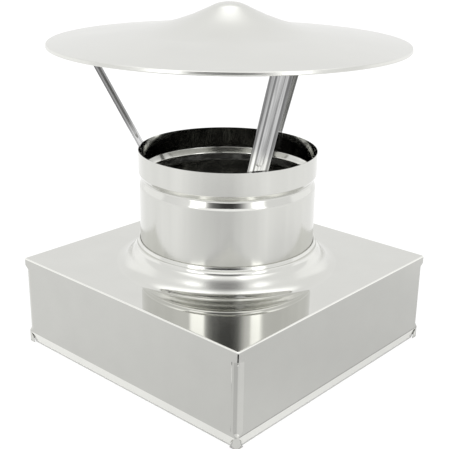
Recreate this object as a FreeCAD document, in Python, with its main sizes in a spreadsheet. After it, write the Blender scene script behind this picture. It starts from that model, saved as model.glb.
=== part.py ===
import FreeCAD, Part

import math
import os
import re

import Sketcher

# Chimney cap for a round flue: a square folded hood with a drawn neck, a grooved pipe stub,
# three ribbed legs and a spun rain cap, all of polished stainless sheet.
# The origin is the centre of the hood's foot, Z is up, and lengths are in millimetres.

SIZES = [
    # Folded hood
    ("hood_side", 333.0, "width and depth over the hood's walls"),
    ("hood_height", 106.0, "foot of the walls to the top face"),
    ("hood_sheet", 0.8, "sheet of the hood"),
    ("fold_radius", 1.8, "outside of the fold between the top and a wall"),
    ("corner_radius", 8.5, "outside of the upright bend at each corner"),
    ("ear_radius", 2.2, "outside of the sharper corner just under the top"),
    ("ear_height", 8.5, "sharp part of the corner, down from the top"),
    ("ear_taper", 4.0, "run from the sharp corner into the upright bend"),
    ("toe_radius", 3.0, "outside of the sharper corner beside the foot bands"),
    ("toe_taper", 6.0, "run from that corner into the upright bend"),
    ("slit_width", 1.6, "relief slit in each ear"),
    ("slit_start", 2.2, "top of the slit, down from the top"),
    ("band_height", 12.5, "foot band that is kicked inwards"),
    ("band_kick", 11.0, "lean of the foot band, degrees"),
    ("band_notch", 6.0, "how far a band's end falls back at its foot"),
    ("band_gap", 0.5, "slit between a band's end and the corner"),
    ("lap_width", 14.0, "tab that laps behind each wall's end"),
    ("seam_width", 0.25, "open butt line in front of each lap"),
    # Neck drawn up from the hood's top
    ("neck_height", 28.5, "top of the neck above the hood's top"),
    ("neck_radius", 103.0, "outside of the neck's upright nose"),
    ("nose_bevel", 1.2, "bevel that stands for the nose's small bend"),
    ("step_height", 21.5, "corner between nose and shoulder"),
    ("step_radius", 4.0, "hollow rounding under the nose"),
    ("shoulder_radius", 108.5, "corner between shoulder and flank"),
    ("shoulder_height", 16.0, "height of that corner above the top"),
    ("knee_radius", 7.0, "rounding of that corner"),
    ("foot_radius", 116.7, "where flank and top would meet"),
    ("foot_round", 16.0, "hollow rounding of the neck's foot"),
    # Pipe stub
    ("pipe_radius", 99.8, "outside of the pipe below its groove"),
    ("socket_radius", 100.7, "outside of the socket above the groove"),
    ("pipe_sheet", 0.6, "sheet of the pipe"),
    ("pipe_rise", 131.5, "rim above the hood's top"),
    ("spigot_depth", 40.0, "pipe end below the hood's top"),
    ("spigot_radius", 99.0, "outside of the drawn-in spigot at the pipe's end"),
    ("spigot_step", 3.0, "start of the draw-in below the hood's top"),
    ("spigot_run", 4.0, "height over which the spigot is drawn in"),
    ("pipe_fit", 0.1, "air between the pipe and the neck"),
    ("groove_start", 25.0, "upper lip of the groove, down from the rim"),
    ("groove_middle", 31.0, "deepest line of the groove, down from the rim"),
    ("groove_end", 41.0, "lower lip of the groove, down from the rim"),
    ("groove_depth", 3.2, "depth of the groove inside the pipe's face"),
    ("groove_lip", 2.5, "rounding of the groove's upper lip"),
    ("groove_run", 7.5, "rounding of the groove's lower lip"),
    ("groove_root", 3.0, "rounding of the groove's root"),
    ("weld_angle", 202.0, "direction of the pipe's long weld, degrees"),
    ("weld_width", 1.4, "width of the weld's ridge"),
    ("weld_proud", 0.15, "height of the weld's ridge"),
    ("weld_end", 2.0, "bare run left at each end of a weld ridge"),
    # Spun rain cap
    ("cap_radius", 195.0, "outside of the rain cap"),
    ("cap_gap", 115.5, "pipe rim up to the cap's lowest edge"),
    ("cap_sheet", 0.8, "sheet of the rain cap"),
    ("cap_slope", 7.0, "fall of the outer cone, degrees"),
    ("boss_radius", 60.0, "where the boss's flank and the cone would meet"),
    ("boss_height", 24.55, "that corner up to the top of the boss"),
    ("crown_radius", 10.8, "where the boss's flank and its top would meet"),
    ("boss_round", 38.0, "rounding of the boss's top"),
    ("boss_hollow", 250.0, "hollow rounding between boss and cone"),
    ("hem_height", 3.8, "height of the rolled hem"),
    ("hem_depth", 3.8, "depth of the rolled hem"),
    ("hem_return", 2.6, "turned-up end of the hem"),
    ("hem_bevel", 1.0, "bevel that stands for the small bend between cone and hem"),
    # Legs
    ("leg_width", 23.0, "width of a leg's strip"),
    ("leg_sheet", 1.0, "thickness of a leg's strip"),
    ("leg_inset", 31.0, "a leg's upper bend inside the cap's edge"),
    ("leg_bend", 2.0, "inside of a leg's bends"),
    ("leg_lift", 0.6, "lower bend above the pipe's rim"),
    ("lower_tab", 21.0, "tab inside the pipe, down from the rim"),
    ("upper_tab", 20.0, "tab under the cap, outwards"),
    ("weld_gap", 0.08, "air between a tab and what it is welded to"),
    ("rib_width", 8.0, "width of the pressed rib"),
    ("rib_height", 1.8, "height of the pressed rib"),
    ("rib_edge", 1.3, "rounding of the rib's edge"),
    ("rib_start", 8.0, "rib's lower end above the lower bend"),
    ("rib_stop", 8.0, "rib's upper end below the upper bend"),
    ("front_angle", 240.0, "direction of the front leg, degrees"),
    ("rear_angle", 8.0, "direction of the rear leg, degrees"),
    ("left_angle", 127.0, "direction of the left leg, degrees"),
]

doc = FreeCAD.newDocument("chimney_cap")
sheet = doc.addObject("Spreadsheet::Sheet", "Sizes")
for row, (alias, value, meaning) in enumerate(SIZES, start=1):
    sheet.set("A%d" % row, meaning)
    sheet.set("B%d" % row, str(value))
    sheet.setAlias("B%d" % row, alias)
doc.recompute()

ALIAS = re.compile(r"[a-z]+_[a-z]+")


def bound(text):
    """An expression in the sheet's aliases, as the document reads it."""
    return ALIAS.sub(lambda name: "Sizes." + name.group(0), str(text))


def number(text):
    """The present value of such an expression."""
    return float(sheet.evalExpression(bound(text)))


def new_body(label):
    body = doc.addObject("PartDesign::Body", label)
    body.Label = label
    return body


def origin_item(body, role):
    return [item for item in body.Origin.OriginFeatures if item.Role == role][0]


def new_sketch(body, name, plane, shift=("0", "0", "0"), turn=None):
    """Sketch on a plane of the body's own origin, shifted in the plane's own axes and turned
    by an angle about one of them."""
    sketch = body.newObject("Sketcher::SketchObject", name)
    sketch.AttachmentSupport = [(origin_item(body, plane), "")]
    sketch.MapMode = "FlatFace"
    rotation = FreeCAD.Rotation()
    if turn:
        rotation = FreeCAD.Rotation(FreeCAD.Vector(*turn[0]), number(turn[1]))
    base = FreeCAD.Vector(*[number(part) for part in shift])
    sketch.AttachmentOffset = FreeCAD.Placement(base, rotation)
    for axis, part in zip("xyz", shift):
        if part != "0":
            sketch.setExpression("AttachmentOffset.Base." + axis, bound(part))
    if turn:
        sketch.setExpression("AttachmentOffset.Rotation.Angle", bound(turn[1]))
    return sketch


def bind_value(sketch, constraint, text):
    """Adds a constraint with a value and ties the value to its expression."""
    index = sketch.addConstraint(constraint)
    sketch.setExpression("Constraints[%d]" % index, bound(text))
    return index


def pin(sketch, geometry, end, x_text, y_text):
    """Holds one point of the sketch at two expressions."""
    for kind, text in (("DistanceX", x_text), ("DistanceY", y_text)):
        value = number(text)
        if abs(value) < 1e-9:
            axis = -2 if kind == "DistanceX" else -1
            sketch.addConstraint(Sketcher.Constraint("PointOnObject", geometry, end, axis))
        else:
            bind_value(sketch, Sketcher.Constraint(kind, -1, 1, geometry, end, value), text)


def rounding(before, corner, after, radius):
    """Tangent points, centre and direction of the arc that rounds a corner."""
    back = (before - corner).normalize()
    ahead = (after - corner).normalize()
    half = math.acos(max(-1.0, min(1.0, back.dot(ahead)))) / 2
    run = radius / math.tan(half)
    start = corner + back * run
    end = corner + ahead * run
    middle = (back + ahead).normalize()
    centre = corner + middle * (radius / math.sin(half))
    left_turn = back.cross(ahead).z < 0
    return start, end, centre, left_turn


def arc_between(centre, radius, start, end, left_turn):
    """Arc from start to end, which always runs anticlockwise in a sketch."""
    angles = [math.atan2(point.y - centre.y, point.x - centre.x) for point in (start, end)]
    if not left_turn:
        angles.reverse()
    return Part.ArcOfCircle(Part.Circle(centre, FreeCAD.Vector(0, 0, 1), radius), *angles)


class Chain:
    """Straight runs with rounded corners between them, drawn in a sketch."""

    def __init__(self, sketch, points, radii, closed):
        self.sketch = sketch
        self.lines = []
        self.arcs = {}
        self.turns = {}
        count = len(points)
        starts = list(points)
        ends = list(points)
        centres = {}
        for index, radius in enumerate(radii):
            inner = closed or 0 < index < count - 1
            if radius > 0 and inner:
                before = points[index - 1]
                after = points[(index + 1) % count]
                start, end, centre, left = rounding(before, points[index], after, radius)
                ends[index] = start
                starts[index] = end
                centres[index] = (centre, radius, start, end, left)
        for index in range(count if closed else count - 1):
            line = Part.LineSegment(starts[index], ends[(index + 1) % count])
            self.lines.append(sketch.addGeometry(line))
        for index, (centre, radius, start, end, left) in centres.items():
            self.arcs[index] = sketch.addGeometry(arc_between(centre, radius, start, end, left))
            self.turns[index] = left
        for index in range(count):
            if not closed and index in (0, count - 1):
                continue
            first = self.lines[index - 1]
            second = self.lines[index % len(self.lines)]
            if index in self.arcs:
                arc = self.arcs[index]
                enter, leave = (1, 2) if self.turns[index] else (2, 1)
                sketch.addConstraint(Sketcher.Constraint("Tangent", first, 2, arc, enter))
                sketch.addConstraint(Sketcher.Constraint("Tangent", arc, leave, second, 1))
            else:
                sketch.addConstraint(Sketcher.Constraint("Coincident", first, 2, second, 1))

    def hold(self, corners, closed):
        """Pins every corner and radius to its expressions."""
        last = len(corners) - 1
        for index, (x_text, y_text, radius_text) in enumerate(corners):
            if index in self.arcs:
                spot = FreeCAD.Vector(number(x_text), number(y_text), 0)
                mark = self.sketch.addGeometry(Part.Point(spot), True)
                pin(self.sketch, mark, 1, x_text, y_text)
                for line in (self.lines[index - 1], self.lines[index]):
                    self.sketch.addConstraint(Sketcher.Constraint("PointOnObject", mark, 1, line))
                radius = Sketcher.Constraint("Radius", self.arcs[index], number(radius_text))
                bind_value(self.sketch, radius, radius_text)
            elif index == last and not closed:
                pin(self.sketch, self.lines[-1], 2, x_text, y_text)
            else:
                pin(self.sketch, self.lines[index], 1, x_text, y_text)


def corner_points(corners):
    return [FreeCAD.Vector(number(x_text), number(y_text), 0) for x_text, y_text, _ in corners]


def outline(sketch, corners):
    """Closed outline through corners, each with its x, y and rounding as expressions."""
    radii = [number(radius) for _, _, radius in corners]
    chain = Chain(sketch, corner_points(corners), radii, True)
    chain.hold(corners, True)


def bent_sheet(sketch, corners, thickness, side):
    """Section of a bent sheet: a path of corners with the bend radius on that face, and the
    opposite face at the sheet's thickness to the left (side 1) or right (side -1). A corner
    with no radius is sharp on both faces."""
    points = corner_points(corners)
    radii = [number(radius) for _, _, radius in corners]
    depth = number(thickness)
    runs = [(points[i + 1] - points[i]).normalize() for i in range(len(points) - 1)]
    normals = [FreeCAD.Vector(-run.y, run.x, 0) * side for run in runs]
    far_points = [points[0] + normals[0] * depth]
    far_radii = [0.0]
    for index in range(1, len(points) - 1):
        bisector = normals[index - 1] + normals[index]
        reach = 2 * depth / bisector.dot(bisector)
        far_points.append(points[index] + bisector * reach)
        left = runs[index - 1].cross(runs[index]).z > 0
        grows = left != (side > 0)
        change = depth if grows else -depth
        far_radii.append(radii[index] + change if radii[index] else 0.0)
    far_points.append(points[-1] + normals[-1] * depth)
    far_radii.append(0.0)
    near = Chain(sketch, points, radii, False)
    near.hold(corners, False)
    far = Chain(sketch, far_points, far_radii, False)
    for index, line in enumerate(far.lines):
        sketch.addConstraint(Sketcher.Constraint("Parallel", near.lines[index], line))
        if index in far.arcs:
            pair = Sketcher.Constraint("Coincident", near.arcs[index], 3, far.arcs[index], 3)
            sketch.addConstraint(pair)
        else:
            apart = Sketcher.Constraint("Distance", line, 1, near.lines[index], depth)
            bind_value(sketch, apart, thickness)
    ends = ((near.lines[0], 1, far.lines[0]), (near.lines[-1], 2, far.lines[-1]))
    for near_line, end, far_line in ends:
        corner = points[0] if end == 1 else points[-1]
        far_corner = far_points[0] if end == 1 else far_points[-1]
        cap = sketch.addGeometry(Part.LineSegment(corner, far_corner))
        sketch.addConstraint(Sketcher.Constraint("Coincident", cap, 1, near_line, end))
        sketch.addConstraint(Sketcher.Constraint("Coincident", cap, 2, far_line, end))
        sketch.addConstraint(Sketcher.Constraint("Perpendicular", cap, near_line))


def revolve(body, name, sketch):
    """Turns a sketch in the XZ plane once round the Z axis."""
    turned = body.newObject("PartDesign::Revolution", name)
    turned.Profile = sketch
    turned.ReferenceAxis = (sketch, ["V_Axis"])
    turned.Angle = 360
    return turned


def pad(body, name, sketch, length, both_ways=False, reverse=False):
    grown = body.newObject("PartDesign::Pad", name)
    grown.Profile = sketch
    grown.Length = number(length)
    grown.setExpression("Length", bound(length))
    grown.Midplane = both_ways
    grown.Reversed = reverse
    doc.recompute()
    return grown


def pocket(body, name, sketch, length, reverse=False):
    """Cuts a sketch into the body and makes sure that it took something away."""
    before = body.Tip.Shape.Volume
    cut = body.newObject("PartDesign::Pocket", name)
    cut.Profile = sketch
    cut.Length = number(length)
    cut.setExpression("Length", bound(length))
    cut.Reversed = reverse
    doc.recompute()
    if not cut.Shape.Volume < before - 1e-6:
        raise RuntimeError(name + " cut nothing")
    return cut


def four_times(body, name, features):
    """Repeats features at the hood's four sides."""
    pattern = body.newObject("PartDesign::PolarPattern", name)
    pattern.Originals = features
    pattern.Axis = (origin_item(body, "Z_Axis"), [""])
    pattern.Angle = 360
    pattern.Occurrences = 4
    body.Tip = pattern
    return pattern


def edge_names(shape, wanted):
    """Names of the edges whose every sampled point passes the test."""
    names = []
    for index, edge in enumerate(shape.Edges, start=1):
        first, last = edge.ParameterRange
        samples = [edge.valueAt(first + (last - first) * part) for part in (0, 0.5, 1)]
        if all(wanted(point) for point in samples):
            names.append("Edge%d" % index)
    return names


# Heights, radii and the corner direction that several features share
RIM_Z = "(hood_height + pipe_rise)"
CAP_Z = "(hood_height + pipe_rise + cap_gap)"
HALF = "hood_side / 2"
REACH = "(cap_radius - leg_inset)"
WALL_HEAD = "hood_height - ear_height - ear_taper"
DIAGONAL = "45"


def cap_underside(radius):
    """Height of the cone's under face at a radius."""
    return ("({z} + hem_height + (cap_radius - {r}) * tan(cap_slope)"
            " - cap_sheet / cos(cap_slope))").format(z=CAP_Z, r=radius)


def rounded_square(body, name, half, radius, height):
    sketch = new_sketch(body, name, "XY_Plane", ("0", "0", height))
    corners = [("-(%s)" % half, "-(%s)" % half, radius), (half, "-(%s)" % half, radius),
               (half, half, radius), ("-(%s)" % half, half, radius)]
    outline(sketch, corners)
    return sketch


def hood_shell(body, stem, inset, top, cuts):
    """Prism with rounded upright corners, in three stages with short ruled runs between them:
    sharper toes beside the foot bands, soft walls, and the sharp ears under the top."""
    half = "%s - %s" % (HALF, inset)
    stages = [
        ("toes", "toe_radius - " + inset, "0", "band_height"),
        ("walls", "corner_radius - " + inset, "band_height + toe_taper", WALL_HEAD),
        ("ears", "ear_radius - " + inset, "hood_height - ear_height", top),
    ]
    kinds = ("PartDesign::Pocket", "PartDesign::SubtractiveLoft") if cuts else (
        "PartDesign::Pad", "PartDesign::AdditiveLoft")
    below = None
    for part, radius, low, high in stages:
        if below:
            run = body.newObject(kinds[1], "%s_%s_run" % (stem, part))
            run.Profile = rounded_square(body, "%s_%s_run_foot" % (stem, part), half, *below)
            head = rounded_square(body, "%s_%s_run_head" % (stem, part), half, radius, low)
            run.Sections = [head]
            run.Ruled = True
            doc.recompute()
        prism = body.newObject(kinds[0], "%s_%s" % (stem, part))
        prism.Profile = rounded_square(body, "%s_%s_plan" % (stem, part), half, radius, low)
        prism.Length = number("%s - (%s)" % (high, low))
        prism.setExpression("Length", bound("%s - (%s)" % (high, low)))
        prism.Reversed = cuts
        doc.recompute()
        below = (radius, high)
    return prism


def make_hood():
    """One folded sheet: top with its drawn neck, four walls, laps behind the corners and a
    foot band on each wall that is kicked inwards."""
    body = new_body("base_hood")
    outer = hood_shell(body, "hood_outer", "0", "hood_height", False)
    top = number("hood_height")
    fold = body.newObject("PartDesign::Fillet", "hood_fold")
    fold.Base = (outer, edge_names(outer.Shape, lambda spot: abs(spot.z - top) < 1e-4))
    fold.Radius = number("fold_radius")
    fold.setExpression("Radius", bound("fold_radius"))
    doc.recompute()
    inner_top = "hood_height - hood_sheet"
    hood_shell(body, "hood_inner", "hood_sheet", inner_top, True)

    mouth = new_sketch(body, "neck_mouth", "XY_Plane", ("0", "0", "hood_height"))
    flank_lean = "atan(shoulder_height / (foot_radius - shoulder_radius))"
    mouth_radius = "foot_radius + foot_round * tan(%s / 2)" % flank_lean
    mouth_size = number(mouth_radius)
    ring = mouth.addGeometry(Part.Circle(FreeCAD.Vector(), FreeCAD.Vector(0, 0, 1), mouth_size))
    mouth.addConstraint(Sketcher.Constraint("Coincident", ring, 3, -1, 1))
    bind_value(mouth, Sketcher.Constraint("Radius", ring, mouth_size), mouth_radius)
    pocket(body, "neck_opening", mouth, "2 * hood_sheet")

    section = new_sketch(body, "neck_section", "XZ_Plane")
    bent_sheet(section, [
        ("pipe_radius + pipe_fit", "hood_height + neck_height", "0"),
        ("neck_radius - nose_bevel", "hood_height + neck_height", "0"),
        ("neck_radius", "hood_height + neck_height - nose_bevel", "0"),
        ("neck_radius", "hood_height + step_height", "step_radius"),
        ("shoulder_radius", "hood_height + shoulder_height", "knee_radius"),
        ("foot_radius", "hood_height", "foot_round"),
        (mouth_radius + " + hood_sheet", "hood_height", "0"),
    ], "hood_sheet", -1)
    revolve(body, "neck", section)
    doc.recompute()

    notch_top = "%s - toe_radius - band_gap" % HALF
    notch_foot = "%s - toe_radius - band_notch - band_gap" % HALF
    window = new_sketch(body, "band_window", "XZ_Plane", ("0", "0", HALF))
    outline(window, [("-(%s)" % notch_foot, "-band_gap", "0"), (notch_foot, "-band_gap", "0"),
                     (notch_top, "band_height", "0"), ("-(%s)" % notch_top, "band_height", "0")])
    opening = pocket(body, "band_opening", window, "2 * hood_sheet")

    panel = new_sketch(body, "band_panel", "XZ_Plane", ("0", "band_height", HALF),
                       ((1, 0, 0), "band_kick"))
    panel_foot = "-band_height / cos(band_kick)"
    outline(panel, [("-(%s - band_gap)" % notch_foot, panel_foot, "0"),
                    ("%s - band_gap" % notch_foot, panel_foot, "0"),
                    (notch_top, "0", "0"), ("-(%s)" % notch_top, "0", "0")])
    band = pad(body, "band", panel, "hood_sheet", reverse=True)

    seam_x = "%s - corner_radius" % HALF
    seam = new_sketch(body, "seam_line", "XZ_Plane", ("0", "0", HALF))
    seam_foot = "band_height + seam_width"
    seam_top = WALL_HEAD + " - seam_width"
    outline(seam, [(seam_x + " - seam_width", seam_foot, "0"), (seam_x, seam_foot, "0"),
                   (seam_x, seam_top, "0"), (seam_x + " - seam_width", seam_top, "0")])
    butt = pocket(body, "seam_cut", seam, "hood_sheet")
    lap = new_sketch(body, "lap_face", "XZ_Plane", ("0", "0", HALF + " - hood_sheet"))
    lap_ends = (seam_x + " - lap_width", seam_x + " + hood_sheet")
    outline(lap, [(lap_ends[0], "band_height", "0"), (lap_ends[1], "band_height", "0"),
                  (lap_ends[1], WALL_HEAD, "0"), (lap_ends[0], WALL_HEAD, "0")])
    tab = pad(body, "lap", lap, "hood_sheet", reverse=True)

    slit = new_sketch(body, "slit_line", "XZ_Plane", ("0", "0", "0"), ((0, 1, 0), DIAGONAL))
    slit_top = "hood_height - slit_start"
    outline(slit, [("-slit_width / 2", WALL_HEAD, "0"), ("slit_width / 2", WALL_HEAD, "0"),
                   ("slit_width / 2", slit_top, "0"), ("-slit_width / 2", slit_top, "0")])
    relief = pocket(body, "ear_slit", slit, "hood_side", reverse=True)

    four_times(body, "four_sides", [opening, band, butt, tab, relief])
    return body


def make_pipe():
    """Rolled pipe with a wider socket above its rolled groove, a spigot drawn in at its lower
    end and a ridge along its weld."""
    body = new_body("flue_pipe")
    section = new_sketch(body, "pipe_section", "XZ_Plane")
    bent_sheet(section, [
        ("socket_radius", RIM_Z, "0"),
        ("socket_radius", RIM_Z + " - groove_start", "groove_lip"),
        ("pipe_radius - groove_depth", RIM_Z + " - groove_middle", "groove_root"),
        ("pipe_radius", RIM_Z + " - groove_end", "groove_run"),
        ("pipe_radius", "hood_height - spigot_step", "0"),
        ("spigot_radius", "hood_height - spigot_step - spigot_run", "0"),
        ("spigot_radius", "hood_height - spigot_depth", "0"),
    ], "pipe_sheet", -1)
    revolve(body, "pipe_wall", section)
    ridges = [
        ("socket_radius", RIM_Z + " - groove_start + weld_end", RIM_Z + " - weld_end"),
        ("pipe_radius", "hood_height + neck_height + weld_end",
         RIM_Z + " - groove_end - weld_end"),
    ]
    for index, (radius, low, high) in enumerate(ridges):
        ridge = new_sketch(body, "ridge_%d" % index, "XY_Plane", ("0", "0", low))
        left = "%s - pipe_sheet / 2" % radius
        right = "%s + weld_proud" % radius
        outline(ridge, [(left, "-weld_width / 2", "0"), (right, "-weld_width / 2", "0"),
                        (right, "weld_width / 2", "0"), (left, "weld_width / 2", "0")])
        pad(body, "weld_%d" % index, ridge, "%s - (%s)" % (high, low))
    body.setExpression("Placement.Rotation.Angle", bound("weld_angle"))
    return body


def make_rain_cap():
    """Spun cap: boss, hollow run-out, cone and a hem rolled inwards at the edge."""
    body = new_body("rain_cap")
    cone_z = "%s + hem_height + (cap_radius - boss_radius) * tan(cap_slope)" % CAP_Z
    top_z = cone_z + " + boss_height"
    flank_lean = "atan(boss_height / (boss_radius - crown_radius))"
    widest_round = "0.99 * crown_radius / tan(%s / 2)" % flank_lean
    section = new_sketch(body, "cap_section", "XZ_Plane")
    bent_sheet(section, [
        ("0", top_z, "0"),
        ("crown_radius", top_z, "min(boss_round; %s)" % widest_round),
        ("boss_radius", cone_z, "boss_hollow"),
        ("cap_radius - hem_bevel", CAP_Z + " + hem_height + hem_bevel * tan(cap_slope)", "0"),
        ("cap_radius", CAP_Z + " + hem_height - hem_bevel", "0"),
        ("cap_radius", CAP_Z, "0"),
        ("cap_radius - hem_depth", CAP_Z, "0"),
        ("cap_radius - hem_depth", CAP_Z + " + hem_return", "0"),
    ], "cap_sheet", -1)
    revolve(body, "cap_wall", section)
    return body


def make_leg(name, angle):
    """Strip from the inside of the pipe's rim to the underside of the cap, with a pressed rib."""
    body = new_body(name)
    bore = "(socket_radius - pipe_sheet - weld_gap)"
    foot_x = "sqrt(%s * %s - leg_width * leg_width / 4)" % (bore, bore)
    foot_z = RIM_Z + " + leg_lift"
    below = " - (weld_gap + leg_sheet) / cos(cap_slope)"
    head_z = cap_underside(REACH) + below
    end_x = "(%s + upper_tab)" % REACH
    section = new_sketch(body, name + "_section", "XZ_Plane")
    bent_sheet(section, [
        (foot_x, RIM_Z + " - lower_tab", "0"),
        (foot_x, foot_z, "leg_bend"),
        (REACH, head_z, "leg_bend"),
        (end_x, cap_underside(end_x) + below, "0"),
    ], "leg_sheet", 1)
    pad(body, name + "_strip", section, "leg_width", both_ways=True)

    rise = "(%s - (%s))" % (head_z, foot_z)
    run = "(%s - %s)" % (REACH, foot_x)
    lean = "atan(%s / %s)" % (run, rise)
    length = "sqrt(%s * %s + %s * %s)" % (run, run, rise, rise)
    low = "rib_start + rib_width / 2"
    high = "%s - rib_stop - rib_width / 2" % length
    for stem, shrink, depth in (("_rib", "0", "0"), ("_hollow", "leg_sheet", "-leg_sheet")):
        half = "(rib_width / 2 - %s)" % shrink
        shift = ("0", "%s - %s * sin(%s)" % (foot_z, depth, lean),
                 "%s + %s * cos(%s)" % (foot_x, depth, lean))
        face = new_sketch(body, name + stem + "_face", "YZ_Plane", shift, ((1, 0, 0), lean))
        slot(face, low, high, half)
        if stem == "_rib":
            rib = pad(body, name + stem, face, "rib_height")
            round_rib(body, name, rib, (foot_x, foot_z, lean))
        else:
            pocket(body, name + stem, face, "rib_height", reverse=True)
    body.setExpression("Placement.Rotation.Angle", bound(angle))
    return body


def slot(sketch, low, high, half):
    """Upright slot about the sketch's own vertical axis, between two end centres."""
    radius = number(half)
    ends = [FreeCAD.Vector(0, number(low), 0), FreeCAD.Vector(0, number(high), 0)]
    side = FreeCAD.Vector(radius, 0, 0)
    up = FreeCAD.Vector(0, 0, 1)
    bottom = sketch.addGeometry(Part.ArcOfCircle(Part.Circle(ends[0], up, radius), math.pi,
                                                 2 * math.pi))
    right = sketch.addGeometry(Part.LineSegment(ends[0] + side, ends[1] + side))
    top = sketch.addGeometry(Part.ArcOfCircle(Part.Circle(ends[1], up, radius), 0, math.pi))
    left = sketch.addGeometry(Part.LineSegment(ends[1] - side, ends[0] - side))
    joints = ((bottom, 2, right, 1), (right, 2, top, 1), (top, 2, left, 1), (left, 2, bottom, 1))
    for joint in joints:
        sketch.addConstraint(Sketcher.Constraint("Tangent", *joint))
    pin(sketch, bottom, 3, "0", low)
    pin(sketch, top, 3, "0", high)
    bind_value(sketch, Sketcher.Constraint("Radius", bottom, radius), half)


def round_rib(body, name, rib, web):
    """Rounds the raised edge of a rib, found by its distance from the web's outer face."""
    x_foot, z_foot, lean = [number(text) for text in web]
    angle = math.radians(lean)
    outward = FreeCAD.Vector(math.cos(angle), 0, -math.sin(angle))
    level = FreeCAD.Vector(x_foot, 0, z_foot).dot(outward) + number("rib_height")
    along = FreeCAD.Vector(math.sin(angle), 0, math.cos(angle))
    foot = FreeCAD.Vector(x_foot, 0, z_foot).dot(along)

    def on_crest(spot):
        return abs(spot.dot(outward) - level) < 1e-4 and spot.dot(along) > foot

    crest = body.newObject("PartDesign::Fillet", name + "_rib_edge")
    crest.Base = (rib, edge_names(rib.Shape, on_crest))
    crest.Radius = number("rib_edge")
    crest.setExpression("Radius", bound("rib_edge"))
    doc.recompute()
    return crest


PIECES = [
    make_hood(),
    make_pipe(),
    make_leg("leg_front", "front_angle"),
    make_leg("leg_rear", "rear_angle"),
    make_leg("leg_left", "left_angle"),
    make_rain_cap(),
]
doc.recompute()

for item in doc.Objects:
    if "Invalid" in item.State or "Error" in item.State:
        raise RuntimeError("%s did not build: %s" % (item.Label, item.State))

os.makedirs("parts", exist_ok=True)
for piece in PIECES:
    shape = piece.Shape
    if shape.isNull() or not shape.isValid() or len(shape.Solids) != 1:
        raise RuntimeError("%s is not one sound solid" % piece.Label)
    shape.exportStep("parts/%s.step" % piece.Label)
    box = shape.optimalBoundingBox()
    print("%-10s %9.0f mm3  x %.2f %.2f  y %.2f %.2f  z %.2f %.2f" % (
        piece.Label, shape.Volume, box.XMin, box.XMax, box.YMin, box.YMax, box.ZMin, box.ZMax))
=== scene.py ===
# %% [markdown]
# A chimney cap of polished stainless sheet: a square folded hood with a drawn neck, a short
# grooved pipe, three ribbed strap legs and a spun rain cap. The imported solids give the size
# and the place of every piece. Here each of them gets a fine surface of its own, because a
# mirror finish shows every flat facet of a coarse mesh, and then a finish and a studio.

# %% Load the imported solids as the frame
import math

import bmesh
import bpy
import numpy as np
from mathutils import Matrix, Vector


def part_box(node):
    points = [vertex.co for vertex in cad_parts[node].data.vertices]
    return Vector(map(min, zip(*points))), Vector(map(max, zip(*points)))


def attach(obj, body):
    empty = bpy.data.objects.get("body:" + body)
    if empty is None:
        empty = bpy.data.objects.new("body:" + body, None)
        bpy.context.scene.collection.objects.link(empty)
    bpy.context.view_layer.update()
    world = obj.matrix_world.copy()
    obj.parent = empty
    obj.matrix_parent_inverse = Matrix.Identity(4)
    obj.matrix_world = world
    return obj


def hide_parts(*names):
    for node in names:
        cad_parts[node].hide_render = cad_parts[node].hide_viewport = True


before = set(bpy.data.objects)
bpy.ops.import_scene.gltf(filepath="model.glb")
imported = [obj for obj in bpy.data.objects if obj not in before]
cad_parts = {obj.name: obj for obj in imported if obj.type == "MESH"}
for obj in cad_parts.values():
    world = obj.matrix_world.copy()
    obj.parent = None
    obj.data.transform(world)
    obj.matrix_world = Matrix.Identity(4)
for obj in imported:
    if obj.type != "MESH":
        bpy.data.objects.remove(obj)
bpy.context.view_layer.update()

# %% [markdown]
# The main sizes are read from the frame: the hood's half side, the height of the neck and of
# the rim, and the radii of the socket and of the rain cap. What lies inside a node's box,
# such as the neck's steps or the groove, is a named value beside the piece it shapes.

# %% Main sizes from the frame
MM = 0.001
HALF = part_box("base_hood")[1].x
NECK_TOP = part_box("base_hood")[1].z
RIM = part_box("flue_pipe")[1].z
SPIGOT_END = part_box("flue_pipe")[0].z
SOCKET_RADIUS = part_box("flue_pipe")[1].x
CAP_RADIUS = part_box("rain_cap")[1].x
CAP_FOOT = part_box("rain_cap")[0].z
CAP_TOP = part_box("rain_cap")[1].z
print("hood half side %.4f, rim %.4f, cap radius %.4f m" % (HALF, RIM, CAP_RADIUS))

# %% [markdown]
# Bent sheet is straight runs with round bends between them. A subdivided cage could round the
# corners too, but not to a stated radius, so one function walks along the path: each corner
# gets the circle that touches both runs. A point close to each bend holds the flat run flat,
# so that smooth shading does not creep into it.

# %% Paths of bent sheet
BEND_STEP = math.radians(5)
HOLD = 0.3 * MM


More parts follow.
